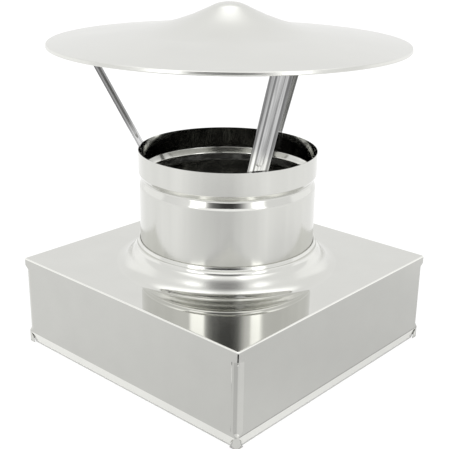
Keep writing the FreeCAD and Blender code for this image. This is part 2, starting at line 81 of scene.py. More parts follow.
def bent_path(corners, longest=12 * MM):
    """Points and headings along runs between corners (x, z, bend radius). A bend starts
    radius * tan(turn / 2) before its corner and follows a circle about the inner side."""
    spots = np.array([corner[:2] for corner in corners])
    radii = np.array([corner[2] for corner in corners])
    runs = np.diff(spots, axis=0)
    heading = np.unwrap(np.arctan2(runs[:, 1], runs[:, 0]))
    way = np.stack([np.cos(heading), np.sin(heading)], 1)
    turn = np.diff(heading)
    cut = np.concatenate([[0], radii[1:-1] * np.tan(np.abs(turn) / 2), [0]])
    points, headings = [], []
    for index, direction in enumerate(way):
        start = spots[index] + direction * cut[index]
        end = spots[index + 1] - direction * cut[index + 1]
        length = np.linalg.norm(end - start)
        inner = np.linspace(0, length, max(2, math.ceil(length / longest) + 1))
        held = [min(HOLD, length / 3), length - min(HOLD, length / 3)]
        stops = np.unique(np.concatenate([inner, held]))
        points.append(start + stops[:, None] * direction)
        headings.append(np.full(len(stops), heading[index]))
        if index < len(turn) and radii[index + 1] > 0:
            count = max(3, math.ceil(abs(turn[index]) / BEND_STEP))
            angle = heading[index] + turn[index] * np.arange(1, count) / count
            side = math.copysign(radii[index + 1], turn[index])
            left = np.array([-direction[1], direction[0]])
            centre = end + side * left
            points.append(centre - side * np.stack([-np.sin(angle), np.cos(angle)], 1))
            headings.append(angle)
    return np.concatenate(points), np.concatenate(headings)


SAMPLE = [(0, 0, 0), (10 * MM, 0, 2 * MM), (10 * MM, 10 * MM, 0)]
print("a right angle with a 2 mm bend takes", len(bent_path(SAMPLE)[0]), "points")

# %% [markdown]
# A sheet has two faces. Where a piece is turned about an axis, its section can hold them both:
# the path goes out along one face, steps over the thickness and comes back along the other.

# %% Sections of bent sheet


def sheet_section(corners, thickness, longest=12 * MM):
    """Closed section of a sheet: the path, and the same path moved to its right-hand side
    by the thickness, walked back."""
    near, heading = bent_path(corners, longest)
    right = np.stack([np.sin(heading), -np.cos(heading)], 1)
    return np.concatenate([near, (near + right * thickness)[::-1]])


print("and its 1 mm sheet section takes", len(sheet_section(SAMPLE, 1 * MM)), "points")

# %% [markdown]
# Every piece is a grid of points, rows along its section and columns across or around it.
# Faces come from the grid's own numbering, so no face is built by hand.

# %% Faces of a grid


def grid_faces(rows, columns, ring_rows=False, ring_columns=False):
    """Quads (i, j), (i, j + 1), (i + 1, j + 1), (i + 1, j) of a grid, closed where it rings."""
    row = np.arange(rows if ring_rows else rows - 1)[:, None]
    column = np.arange(columns if ring_columns else columns - 1)[None, :]
    below, beside = (row + 1) % rows, (column + 1) % columns
    corners = [row * columns + column, row * columns + beside,
               below * columns + beside, below * columns + column]
    return np.stack(corners, -1).reshape(-1, 4)


print("a ring of 3 rows and 4 columns has", len(grid_faces(3, 4, ring_columns=True)), "faces")

# %% [markdown]
# Where rows meet in a pole or two patches share an edge, the doubled points are merged, and a
# closed shell is turned face out. Shading is smooth, and only edges over 30 degrees stay crisp.
# Each fine piece then rides on the root body and takes the place of its coarse solid.

# %% Grids into pieces
CRISP_EDGE = math.radians(30)
MERGE_DISTANCE = 0.001 * MM


def new_piece(name, points, faces, materials, kinds=None, closed=True, strip=None):
    """Mesh object at the origin. The kinds say which material each face has, and a strip gives
    each point its place across and along the metal, for the grain."""
    mesh = bpy.data.meshes.new(name)
    mesh.from_pydata(points.reshape(-1, 3).tolist(), [], faces.tolist())
    if strip is not None:
        place = mesh.attributes.new("strip", "FLOAT_VECTOR", "POINT")
        place.data.foreach_set("vector", strip.astype(np.float32).reshape(-1))
    if kinds is not None:
        mesh.polygons.foreach_set("material_index", kinds.astype(np.int32))
    shape = bmesh.new()
    shape.from_mesh(mesh)
    bmesh.ops.remove_doubles(shape, verts=shape.verts, dist=MERGE_DISTANCE)
    if closed:
        bmesh.ops.recalc_face_normals(shape, faces=shape.faces)
    shape.to_mesh(mesh)
    shape.free()
    for material in materials:
        mesh.materials.append(material)
    mesh.shade_smooth()
    mesh.set_sharp_from_angle(angle=CRISP_EDGE)
    piece = bpy.data.objects.new(name, mesh)
    bpy.context.scene.collection.objects.link(piece)
    print(name, len(mesh.vertices), "points", len(mesh.polygons), "faces")
    return piece


def stand_for(piece, node):
    """The fine piece rides on the root body and shows in place of the coarse solid, which is hidden.
    """
    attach(piece, "root")
    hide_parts(node)


# %% [markdown]
# Finishes and the tent are node trees. A few helpers keep them short: a term is either a plain
# number or a pair of a node and the name of its output, and each helper returns such a pair.
# The owner of the tree is a material or the world.

# %% Node helpers
RANGE_SOCKETS = ("From Min", "From Max", "To Min", "To Max")


def add_node(owner, kind, **values):
    """New node, with each value put on the socket or the setting of that name."""
    node = owner.node_tree.nodes.new(kind)
    for key, value in values.items():
        if key in node.inputs:
            node.inputs[key].default_value = value
        else:
            setattr(node, key, value)
    return node


def feed(owner, term, node, socket):
    """Gives a socket its term: a number, or the output that a (node, output) pair names."""
    if isinstance(term, tuple):
        source, output = term
        owner.node_tree.links.new(source.outputs[output], node.inputs[socket])
    else:
        node.inputs[socket].default_value = term


def maths(owner, operation, first, second):
    """Two terms added, multiplied or compared."""
    node = add_node(owner, "ShaderNodeMath", operation=operation)
    feed(owner, first, node, 0)
    feed(owner, second, node, 1)
    return node, "Value"


def mixed(owner, low, high, share):
    """The low term where the share is 0 and the high term where it is 1."""
    node = add_node(owner, "ShaderNodeMix")
    for socket, term in ((0, share), (2, low), (3, high)):
        feed(owner, term, node, socket)
    return node, 0


def ranged(owner, term, stops, smooth=False):
    """The term read between two stops, as a value between two others, straight or smooth."""
    node = add_node(owner, "ShaderNodeMapRange",
                    interpolation_type="SMOOTHSTEP" if smooth else "LINEAR")
    feed(owner, term, node, "Value")
    for socket, stop in zip(RANGE_SOCKETS, stops):
        feed(owner, stop, node, socket)
    return node, "Result"


def curved(owner, term, stops, low=0.0, high=1.0):
    """Piecewise straight curve through (place, value) stops. The term runs from 0 to 1 while
    the places run from low to high."""
    node = add_node(owner, "ShaderNodeValToRGB")
    line = node.color_ramp
    for place, value in stops:
        share = (place - low) / (high - low)
        stop = line.elements.new(share) if 0 < share < 1 else line.elements[-int(share)]
        stop.color = (value, value, value, 1)
    feed(owner, term, node, "Fac")
    return node, "Color"


def height_of(owner):
    """Height of the shaded point above the floor, in metres."""
    place = add_node(owner, "ShaderNodeTexCoord")
    parts = add_node(owner, "ShaderNodeSeparateXYZ")
    feed(owner, (place, "Object"), parts, "Vector")
    return parts, "Z"


# %% [markdown]
# Polished stainless is a metal shader with a warm grey tint and little roughness. What makes it
# look like sheet and not like chrome is small: a broad, weak waviness from rolling, which
# bends every mirrored line a little, a faint fine grain, and patches where the polish is less
# sharp. A picture of real steel could carry all that, but it would bring its own reflections,
# so waves and grain are bump here, and patches and bands vary the roughness and the tint.

# %% Finish of polished sheet
WARM_GREY = (1.0, 1.0, 0.955)
POLISH_SPREAD = 0.2
GRAIN_DEPTH = 0.1 * MM


def noise(material, term, **values):
    """Noise over the place that the term gives."""
    node = add_node(material, "ShaderNodeTexNoise", **values)
    feed(material, term, node, "Vector")
    return node, "Fac"


def polished_sheet(name, tint, roughness, waves=0.04, swell=5.0, grain=60.0,
                   streaks=(1, 1, 1), bands=0.03):
    """Metal whose tint is the warm grey times a tone, times 1 - bands to 1 + bands. Roughness
    drifts by a fifth of itself with broad noise. Two layers bump the face: waves of the rolled
    sheet in millimetres, and a faint grain. The streaks stretch grain and bands by axis."""
    material = bpy.data.materials.new(name)
    material.use_nodes = True
    shader = material.node_tree.nodes["Principled BSDF"]
    shader.inputs["Metallic"].default_value = 1.0
    place = add_node(material, "ShaderNodeTexCoord"), "Object"
    drift = noise(material, place, Scale=9.0, Detail=3.0, Roughness=0.5)
    around = (0, 1, roughness * (1 - POLISH_SPREAD), roughness * (1 + POLISH_SPREAD))
    feed(material, ranged(material, drift, around), shader, "Roughness")
    stretch = add_node(material, "ShaderNodeMapping", Scale=streaks)
    feed(material, place, stretch, "Vector")
    drawn = stretch, "Vector"
    warm = np.array(WARM_GREY) * tint
    colour = add_node(material, "ShaderNodeMix", data_type="RGBA")
    colour.inputs[6].default_value = [*(warm * (1 - bands)), 1.0]
    colour.inputs[7].default_value = [*(warm * (1 + bands)), 1.0]
    feed(material, noise(material, drawn, Scale=grain / 2, Detail=2.0), colour, 0)
    feed(material, (colour, 2), shader, "Base Color")
    broad = add_node(material, "ShaderNodeBump", Strength=1.0, Distance=waves * MM)
    rolled = noise(material, place, Scale=swell, Detail=1.0, Roughness=0.4)
    feed(material, rolled, broad, "Height")
    faint = add_node(material, "ShaderNodeBump", Strength=0.02, Distance=GRAIN_DEPTH)
    fine = noise(material, drawn, Scale=grain, Detail=4.0, Roughness=0.6)
    feed(material, fine, faint, "Height")
    feed(material, (broad, "Normal"), faint, "Normal")
    feed(material, (faint, "Normal"), shader, "Normal")
    return material


# %% [markdown]
# Two things are added to single finishes. A rolled or turned surface has its grain round the
# axis, which smears what it mirrors up and down. And where the hood's neck was pressed, its
# flank was stretched and is duller than its nose, so there the roughness follows the height.

# %% Grain round the axis, and roughness by height


def drawn_round(material, amount):
    """Grain that runs round the Z axis, as a stronger or weaker share."""
    shader = material.node_tree.nodes["Principled BSDF"]
    around = add_node(material, "ShaderNodeTangent", direction_type="RADIAL", axis="Z")
    feed(material, (around, "Tangent"), shader, "Tangent")
    shader.inputs["Anisotropic"].default_value = amount
    shader.inputs["Anisotropic Rotation"].default_value = 0.25


def rough_by_height(material, stops, low, high):
    """Adds a roughness that follows a curve over the height, from low to high."""
    shader = material.node_tree.nodes["Principled BSDF"]
    polish = shader.inputs["Roughness"].links[0].from_node, "Result"
    share = ranged(material, height_of(material), (low, high, 0, 1))
    total = maths(material, "ADD", polish, curved(material, share, stops))
    feed(material, total, shader, "Roughness")


# %% [markdown]
# The rain cap is spun over a former on a lathe, so it is one profile turned round the middle:
# a domed boss, a long hollow run-out, a shallow cone and a hem rolled in under the edge. The
# hem's face leans out a little towards its foot. A cone with a bevelled rim would be quicker,
# but only a true section gives the long hollow and the thin dark line along the edge.

# %% Rain cap
CAP_SHEET = 0.8 * MM
CAP_SLOPE = math.radians(7)
BOSS_RADIUS = 60 * MM
CROWN_RADIUS = 10.8 * MM
BOSS_ROUND = 38 * MM
BOSS_HOLLOW = 250 * MM
HEM_HEIGHT = 3.8 * MM
HEM_DEPTH = 3.8 * MM
HEM_RETURN = 2.6 * MM
HEM_BEND = 0.9 * MM
HEM_FLARE = 0.8 * MM
CAP_COLUMNS = 320
SPUN = polished_sheet("spun_sheet", 0.675, 0.22, grain=40.0)


def turned(section, columns):
    """Grid of the section's points turned about the Z axis: (r cos a, r sin a, z)."""
    angle = 2 * math.pi * np.arange(columns) / columns
    radius, height = section[:, :1], section[:, 1:]
    return np.stack([radius * np.cos(angle), radius * np.sin(angle),
                     height + 0 * angle], -1)


def make_rain_cap():
    """Section from the top's middle out to the hem and back below, turned about Z."""
    cone_top = CAP_FOOT + HEM_HEIGHT + (CAP_RADIUS - BOSS_RADIUS) * math.tan(CAP_SLOPE)
    section = sheet_section([
        (0, CAP_TOP, 0),
        (CROWN_RADIUS, CAP_TOP, BOSS_ROUND),
        (BOSS_RADIUS, cone_top, BOSS_HOLLOW),
        (CAP_RADIUS - HEM_FLARE, CAP_FOOT + HEM_HEIGHT, HEM_BEND),
        (CAP_RADIUS, CAP_FOOT, HEM_BEND),
        (CAP_RADIUS - HEM_DEPTH, CAP_FOOT, HEM_BEND),
        (CAP_RADIUS - HEM_DEPTH, CAP_FOOT + HEM_RETURN, 0),
    ], CAP_SHEET)
    grid = turned(section, CAP_COLUMNS)
    faces = grid_faces(*grid.shape[:2], ring_columns=True)
    stand_for(new_piece("rain_cap_skin", grid, faces, [SPUN]), "rain_cap")


make_rain_cap()

# %% [markdown]
# The pipe is rolled from a strip, welded along its length and then grooved on a swaging
# machine. Its section is turned like the cap's, and it is closed both ways, because it is open
# at both ends. The outside has its grain round the axis and faint upright streaks, the groove
# is smoother and plain, and the bore has strong bands round it as a painted reflection.

# %% Finishes of the pipe
PIPE = polished_sheet("pipe_sheet", 0.64, 0.12, waves=0.3, swell=20.0, grain=90.0,
                      streaks=(1.0, 1.0, 0.03), bands=0.12)
GROOVE = polished_sheet("groove_sheet", 0.64, 0.11)
# The bore's strong tint bands are a painted reflection of its own mirror images.
BORE = polished_sheet("bore_sheet", 0.58, 0.09, waves=0.4, swell=25.0, grain=12.0,
                      streaks=(1.0, 1.0, 14.0), bands=0.7)
drawn_round(PIPE, 0.8)
print("pipe finishes", PIPE.name, GROOVE.name, BORE.name)

# %% Flue pipe
PIPE_SHEET = 0.6 * MM
PIPE_RADIUS = 99.8 * MM
HOOD_TOP = 106 * MM
GROOVE_START = RIM - 25 * MM
GROOVE_MIDDLE = RIM - 31.8 * MM
GROOVE_END = RIM - 39.5 * MM
GROOVE_DEPTH = 3.2 * MM
SPIGOT_RADIUS = 99.0 * MM
DRAW_IN_START = HOOD_TOP - 3 * MM
DRAW_IN_END = HOOD_TOP - 7 * MM
PIPE_COLUMNS = 360


def make_pipe():
    """Section down the outside and up the bore, turned about Z."""
    section = sheet_section([
        (SOCKET_RADIUS, RIM, 0),
        (SOCKET_RADIUS, GROOVE_START, 2.5 * MM),
        (PIPE_RADIUS - GROOVE_DEPTH, GROOVE_MIDDLE, 3 * MM),
        (PIPE_RADIUS, GROOVE_END, 9 * MM),
        (PIPE_RADIUS, DRAW_IN_START, 0),
        (SPIGOT_RADIUS, DRAW_IN_END, 0),
        (SPIGOT_RADIUS, SPIGOT_END, 0),
    ], PIPE_SHEET)
    grid = turned(section, PIPE_COLUMNS)
    faces = grid_faces(*grid.shape[:2], ring_rows=True, ring_columns=True)
    outside = np.arange(len(section)) < len(section) // 2
    height = (section[:, 1] + np.roll(section[:, 1], -1)) / 2
    in_groove = (height < GROOVE_START + MM) & (height > GROOVE_END - 3 * MM)
    kinds = np.where(outside, np.where(in_groove, 1, 0), 2)
    piece = new_piece("flue_pipe_skin", grid, faces, [PIPE, GROOVE, BORE],
                      np.repeat(kinds, PIPE_COLUMNS))
    stand_for(piece, "flue_pipe")


make_pipe()

# %% [markdown]
# The hood is one sheet, so it is one grid: rows run from the neck's nose out over the plate,
# round the fold and down the wall, and columns run round the square. A boolean union of a box
# and a neck would leave a seam in every mirror image, and this has none. A row is a rounded
# square of its own half side and corner radius.

# %% Hood outlines
STRAIGHT = 61
ARC_PART = 4
SIDE_COLUMNS = STRAIGHT + 3 * ARC_PART + 1
SLIT_HALF = 0.8 * MM
WIDEST_SLIT = math.radians(30)


def corner_angles(radius):
    """Angles across a corner's quarter circle, with four steps over the width of the slit."""
    slit = min(math.asin(min(SLIT_HALF / radius, 1.0)), WIDEST_SLIT)
    middle = math.radians(45)
    stops = [0, middle - slit, middle + slit, math.radians(90)]
    parts = [np.linspace(low, high, ARC_PART, endpoint=False)
             for low, high in zip(stops[:-1], stops[1:])]
    return np.concatenate(parts + [[stops[-1]]])


def rounded_square(half, radius, gap):
    """One row of points round a square: per side a straight run that ends a gap before the
    corner, the corner's first point, and the corner's arc."""
    reach = half - radius - gap
    along = reach * np.linspace(-1, 1, STRAIGHT)
    angle = corner_angles(radius)
    x = np.concatenate([along, half - radius + radius * np.sin(angle)])
    y = np.concatenate([np.full(STRAIGHT, -half), -half + radius - radius * np.cos(angle)])
    turns = [(x, y), (-y, x), (-x, -y), (y, -x)]
    return np.concatenate([np.stack(turn, 1) for turn in turns])


print("columns round the hood", 4 * SIDE_COLUMNS)

# %% [markdown]
# The neck was drawn up out of the plate in steps: an upright nose that grips the pipe, a
# shoulder and a flank that runs out in a wide hollow. It is a bent path again, turned by the
# same angles as the columns of the square, so that the rows join without a seam.

# %% Neck rows
PRESS_GAP = 0.1 * MM
NOSE_DEPTH = 1.5 * MM
NECK_RADIUS = 103 * MM
SHOULDER_RADIUS = 108.5 * MM
NECK_FOOT = 116.7 * MM


def neck_rows(angle):
    """Circles from inside the neck's nose down to where its foot runs into the plate."""
    path, _ = bent_path([
        (PIPE_RADIUS + PRESS_GAP, NECK_TOP - NOSE_DEPTH, 0),
        (PIPE_RADIUS + PRESS_GAP, NECK_TOP, 1.0 * MM),
        (NECK_RADIUS - 1.3 * MM, NECK_TOP, 0.9 * MM),
        (NECK_RADIUS, NECK_TOP - 3.0 * MM, 2.0 * MM),
        (NECK_RADIUS, HOOD_TOP + 21.5 * MM, 7.5 * MM),
        (SHOULDER_RADIUS, HOOD_TOP + 16 * MM, 26 * MM),
        (NECK_FOOT, HOOD_TOP, 18 * MM),
        (NECK_FOOT + 11 * MM, HOOD_TOP, 0),
    ])
    radius, height = path[:, :1], path[:, 1:]
    return np.stack([radius * np.cos(angle), radius * np.sin(angle), height + 0 * angle], -1)


print("rows of the neck", len(neck_rows(np.zeros(1))))

# %% [markdown]
# The walls are folded down. A press brake leaves the top fold tight, and the four ears at the
# corners sharp, each with a slit that lets the metal give. Below them the upright bends are
# soft, and at the foot they are sharper again. So the corner's radius changes from row to row,
# while the number of columns stays the same.

# %% Wall rows
FOLD_ROUND = 1.4 * MM
FOLD_ROWS = 9
EAR_ROUND = 2.2 * MM
CORNER_ROUND = 8.5 * MM
TOE_ROUND = 3 * MM
SEAM_WIDTH = 0.25 * MM
BAND_GAP = 0.5 * MM
SLIT_START = 2.2 * MM
EAR_FOOT = HOOD_TOP - 8.5 * MM
WALL_HEAD = EAR_FOOT - 4 * MM
LAP_TOP = EAR_FOOT + 2 * MM
BAND_HEIGHT = 12.5 * MM
WALL_FOOT = BAND_HEIGHT + 6 * MM
CREASE = 1.0 * MM
SOFT_ROWS = 16


def wall_outlines():
    """(half side, corner radius, gap, height) of each row, from the fold down to the toes."""
    tilt = np.radians(np.linspace(0, 90, FOLD_ROWS + 1))
    fold = [(HALF - inset, EAR_ROUND - inset, SEAM_WIDTH, HOOD_TOP - drop)
            for inset, drop in zip(FOLD_ROUND * (1 - np.sin(tilt)), FOLD_ROUND * (1 - np.cos(tilt)))]
    ears = [(HALF, EAR_ROUND, SEAM_WIDTH, height)
            for height in (HOOD_TOP - SLIT_START, LAP_TOP, EAR_FOOT)]
    softer = (HALF, (EAR_ROUND + CORNER_ROUND) / 2, SEAM_WIDTH, (EAR_FOOT + WALL_HEAD) / 2)
    soft = [(HALF, CORNER_ROUND, SEAM_WIDTH, height)
            for height in np.linspace(WALL_HEAD, WALL_FOOT, SOFT_ROWS)]
    sharper = (HALF, (TOE_ROUND + CORNER_ROUND) / 2, BAND_GAP, (BAND_HEIGHT + WALL_FOOT) / 2)
    toes = [(HALF, TOE_ROUND, BAND_GAP, height) for height in (BAND_HEIGHT + CREASE, BAND_HEIGHT)]
    return fold + ears + [softer] + soft + [sharper] + toes


def wall_rows():
    """The outlines as rows of points."""
    rows = []
    for half, radius, gap, height in wall_outlines():
        ring = rounded_square(half, radius, gap)
        rows.append(np.column_stack([ring, np.full(len(ring), height)]))
    return np.array(rows)


print("rows from the fold down", len(wall_rows()))

# %% [markdown]
# Between the round foot of the neck and the square fold lies the flat plate. Its rows blend
# from one outline to the other, which keeps every quad in the plate's plane, and a last row
# close to the fold keeps the fold's shading out of the plate.

# %% Main sheet of the hood
PLATE_ROWS = 8
BESIDE_FOLD = 0.01


def main_sheet():
    """All rows of the main sheet, from the nose to the top of the foot bands, and the number
    of those in the neck. A plate row is inner + (outer - inner) * share."""
    walls = wall_rows()
    edge = walls[0]
    neck = neck_rows(np.arctan2(edge[:, 1], edge[:, 0]))
    inner = neck[-1]
    outer = edge + (inner - edge) * BESIDE_FOLD
    share = np.linspace(0, 1, PLATE_ROWS)[1:-1, None, None]
    plate = inner + (outer - inner) * share
    return np.concatenate([neck, plate, outer[None], walls]), len(neck)


print("main sheet of the hood", main_sheet()[0].shape[:2], "rows and columns")

# %% [markdown]
# Each wall's foot band leans inwards by eleven degrees, and its ends fall back to leave a
# notch at the corner. The corner itself keeps a straight piece down to the floor. Both are
# small grids whose upper edge is the wall's last row, so that the sheet stays in one piece.
# Behind one end of each wall lies the lap, a flat tab that closes the corner from inside.

# %% Foot bands, corner feet and laps
BAND_KICK = math.radians(11)
BAND_NOTCH = 6 * MM
BAND_EDGE = HALF - TOE_ROUND - BAND_GAP
BAND_ROWS = 5
HOOD_SHEET = 0.8 * MM
LAP_REACH = 14 * MM
LAP_AIR = 0.02 * MM


def quarter_turned(x, y, z, quarters):
    """Grid after some quarter turns about Z, each of which takes (x, y) to (-y, x)."""
    for _ in range(quarters):
        x, y = -y, x
    return np.stack([x, y, z], -1)


def foot_band(quarters):
    """Panel from the wall's last row down and inwards. Its ends draw in as it falls."""
    part = np.linspace(0, 1, BAND_ROWS)[:, None]
    reach = BAND_EDGE - (BAND_NOTCH + BAND_GAP) * part
    x = reach * np.linspace(-1, 1, STRAIGHT)
    y = -HALF + BAND_HEIGHT * math.tan(BAND_KICK) * part + 0 * x
    return quarter_turned(x, y, BAND_HEIGHT * (1 - part) + 0 * x, quarters)


def corner_foot(quarters):
    """Straight corner piece. Its two ends move apart as it falls, along both walls."""
    part = np.linspace(0, 1, BAND_ROWS)[:, None]
    angle = corner_angles(TOE_ROUND)
    start = BAND_EDGE - BAND_NOTCH * part
    x = np.concatenate([start, HALF - TOE_ROUND * (1 - np.sin(angle)) + 0 * part,
                        HALF + 0 * part], 1)
    y = np.concatenate([-HALF + 0 * part, -HALF + TOE_ROUND * (1 - np.cos(angle)) + 0 * part,
                        -start], 1)
    return quarter_turned(x, y, BAND_HEIGHT * (1 - part) + 0 * x, quarters)


def lap_strip(quarters):
    """Flat tab, a sheet's thickness inside the wall."""
    edge = HALF - CORNER_ROUND
    x, z = np.meshgrid(np.linspace(edge - LAP_REACH, edge + HOOD_SHEET, 5),
                       np.linspace(BAND_HEIGHT, LAP_TOP, 3))
    y = np.full(x.shape, -HALF + HOOD_SHEET + LAP_AIR)
    return quarter_turned(x, y, z, quarters)


print("foot band", foot_band(0).shape[:2], "corner foot", corner_foot(0).shape[:2])

# %% [markdown]
# The hood is one metal with a material for each part. The neck is duller on its flank. The other
# tints are painted light and shade: a lighter fold and lighter foot bands as painted highlights,
# darker walls as painted shade, soft bends with a painted shaded half and a painted lit half, and
# a painted shade line along the crease over two of the bands. Separate materials show that more
# plainly than one material with many masks.

# %% Finishes of the hood
HOOD_SHEETS = {
    "neck": polished_sheet("neck_sheet", 0.68, 0.035),
    "plate": polished_sheet("plate_sheet", 0.665, 0.03, waves=0.08, swell=12.0),
    # Painted highlight: the fold's tint is raised to stand in for the light it catches.
    "fold": polished_sheet("fold_painted_highlight", 0.84, 0.12),
    # Painted shade: the walls' tint is lowered to stand in for the darker floor they mirror.
    "wall": polished_sheet("wall_painted_shade", 0.54, 0.10, waves=0.05),
    # Painted highlight: the foot bands' tint is raised to stand in for light.
    "band": polished_sheet("band_painted_highlight", 0.79, 0.14),
    # Painted shade and painted light on the two halves of a soft bend, one material copy each.
    "bend_painted_shade": polished_sheet("bend_painted_shade", 0.46, 0.14),
    "bend_painted_light": polished_sheet("bend_painted_light", 0.60, 0.12),
    # Painted shade: a dark line that stands in for the shadow in the crease above the bands.
    "line": polished_sheet("crease_painted_shade", 0.30, 0.2),
}
KIND = {part: number for number, part in enumerate(HOOD_SHEETS)}
FLANK_DULLNESS = [(0.0, 0.0), (0.12, 0.08), (0.3, 0.22), (0.65, 0.22), (0.95, 0.05),
                  (1.0, 0.05)]
rough_by_height(HOOD_SHEETS["neck"], FLANK_DULLNESS, HOOD_TOP, HOOD_TOP + 20 * MM)
print("hood finishes", list(KIND))

# %% [markdown]
# Which finish a face gets follows from its row and from its place in the side. The slits are
# the faces left out in the middle third of each corner, below the fold and above the walls.

# %% Faces of the hood
BEND_START = STRAIGHT + 2
BEND_MIDDLE = STRAIGHT + 3 * ARC_PART // 2


def hood_kinds(grid, neck_count):
    """The kind of finish of each face of the main sheet."""
    rows, columns = grid.shape[0] - 1, grid.shape[1]
    row, height = np.arange(rows), grid[:-1, 0, 2]
    plate_end = neck_count + PLATE_ROWS - 1
    raised = (height > HOOD_TOP + 0.01 * MM) & (row < neck_count)
    by_row = np.select([raised, row < plate_end, row < plate_end + FOLD_ROWS],
                       [KIND["neck"], KIND["plate"], KIND["fold"]], KIND["wall"])
    kinds = np.repeat(by_row, columns).reshape(rows, columns)
    side, place = np.divmod(np.arange(columns), SIDE_COLUMNS)
    soft = ((height <= WALL_HEAD + MM) & (row >= plate_end))[:, None]
    # Soft bends get a painted shaded half and a painted lit half.
    kinds[soft & (place >= BEND_START) & (place < BEND_MIDDLE)] = KIND["bend_painted_shade"]
    kinds[soft & (place > BEND_MIDDLE)] = KIND["bend_painted_light"]
    # A painted shade line along the crease over two of the bands.
    kinds[-1, (side % 2 == 0) & (place < STRAIGHT)] = KIND["line"]
    return kinds.reshape(-1)


def slit_faces(grid, neck_count):
    """Which faces of the main sheet are cut away: the slits in the ears."""
    rows, columns = grid.shape[0] - 1, grid.shape[1]
    height = (grid[:-1, :, 2] + grid[1:, :, 2]) / 2
    place = np.arange(columns) % SIDE_COLUMNS
    slit_columns = (place >= STRAIGHT + ARC_PART) & (place < STRAIGHT + 2 * ARC_PART)
    slit_rows = (height < HOOD_TOP - SLIT_START) & (height > WALL_HEAD)
    on_wall = np.arange(rows)[:, None] >= neck_count
    return (on_wall & slit_rows & slit_columns).reshape(-1)


print("faces cut for the slits", int(slit_faces(*main_sheet()).sum()))

# %% [markdown]
# The main sheet and the twelve small grids become one mesh whose shared edges are merged. It is
# a surface without thickness so far, and Solidify gives it the sheet's, inwards from the
# outer face, which is simpler than offsetting a drawn and folded form by hand.

# %% The whole hood


def make_hood():
    """Main sheet, foot bands, corner feet and laps in one mesh, then the thickness."""
    grid, neck_count = main_sheet()
    keep = ~slit_faces(grid, neck_count)
    points = [grid.reshape(-1, 3)]
    quads = [grid_faces(*grid.shape[:2], ring_columns=True)[keep]]
    kinds = [hood_kinds(grid, neck_count)[keep]]
    count = len(points[0])
    for quarters in range(4):
        # Foot bands take the band's painted highlight tint, corner feet the bend's painted lit tint.
        for patch, part in ((foot_band(quarters), "band"), (corner_foot(quarters), "bend_painted_light"),
                            (lap_strip(quarters), "wall")):
            points.append(patch.reshape(-1, 3))
            quads.append(grid_faces(*patch.shape[:2]) + count)
            kinds.append(np.full(len(quads[-1]), KIND[part]))
            count += len(points[-1])
    piece = new_piece("base_hood_skin", np.concatenate(points), np.concatenate(quads),
                      HOOD_SHEETS.values(), np.concatenate(kinds), closed=False)
    sheet = piece.modifiers.new("sheet", "SOLIDIFY")
    sheet.thickness = HOOD_SHEET
    sheet.offset = 1.0
    sheet.use_even_offset = True
    stand_for(piece, "base_hood")


make_hood()

# %% [markdown]
# Each leg is a strap bent at both ends, with a rib pressed into its long middle: a flat tab
# inside the pipe's rim, the rise, and a tab that lies under the rain cap. Bending a flat box
# with a modifier would stretch the tabs, so the strap's path is walked like the others.

# %% Paths of the legs
LEG_WIDTH = 23 * MM
LEG_SHEET = 1.0 * MM
LEG_REACH = CAP_RADIUS - 31 * MM
LEG_BEND = 2 * MM
LEG_STEP = 1.2 * MM
TAB_DEPTH = 21 * MM
TAB_RISE = 0.6 * MM
TAB_REACH = 20 * MM
WELD_AIR = 0.08 * MM
LEG_ANGLES = {"leg_front": 240, "leg_rear": 8, "leg_left": 127}


def leg_corners():
    """Path of a leg's inner face: tab in the pipe, rise, tab under the cap."""
    bore = SOCKET_RADIUS - PIPE_SHEET - WELD_AIR
    foot = math.sqrt(bore ** 2 - LEG_WIDTH ** 2 / 4)

    def under_cap(radius):
        cone = CAP_FOOT + HEM_HEIGHT + (CAP_RADIUS - radius) * math.tan(CAP_SLOPE)
        return cone - (CAP_SHEET + WELD_AIR + LEG_SHEET) / math.cos(CAP_SLOPE)

    end = LEG_REACH + TAB_REACH
    return [(foot, RIM - TAB_DEPTH, 0), (foot, RIM + TAB_RISE, LEG_BEND),
            (LEG_REACH, under_cap(LEG_REACH), LEG_BEND), (end, under_cap(end), 0)]


print("leg corners", [[round(1000 * value, 1) for value in spot] for spot in leg_corners()], "mm")

# %% [markdown]
# Each strap has fine dark lines along it. The rest of its tone is painted light and shade: darker
# edges and a dark line beside the rib as painted shade, a painted highlight at the foot, and a
# darker tone for the legs that face away, the left one darkest. All of that follows the strap,
# so the material reads the strip attribute: its first and third value lie across the strap,
# and its second runs along it.

# %% Finish of the straps
# Painted shade across the strap: darker edges and a dark line beside the rib.
STRAP_PAINTED_SHADE = [(0.0, 0.6), (0.08, 0.6), (0.11, 1.0), (0.22, 1.0), (0.25, 0.38), (0.31, 0.38),
               (0.33, 1.0), (0.82, 1.0), (0.85, 0.48), (0.96, 0.5), (1.0, 0.75)]
# Lit and shaded copies per leg: painted shade darkens the rear leg and most the left leg.
LEG_LIT_AND_SHADED_TONES = {"leg_front": 0.66, "leg_rear": 0.528, "leg_left": 0.2376}
# Painted highlight at the strap's foot.
FOOT_HIGHLIGHT_TONE = 0.88
FOOT_SHINE = (26 * MM, 60 * MM)


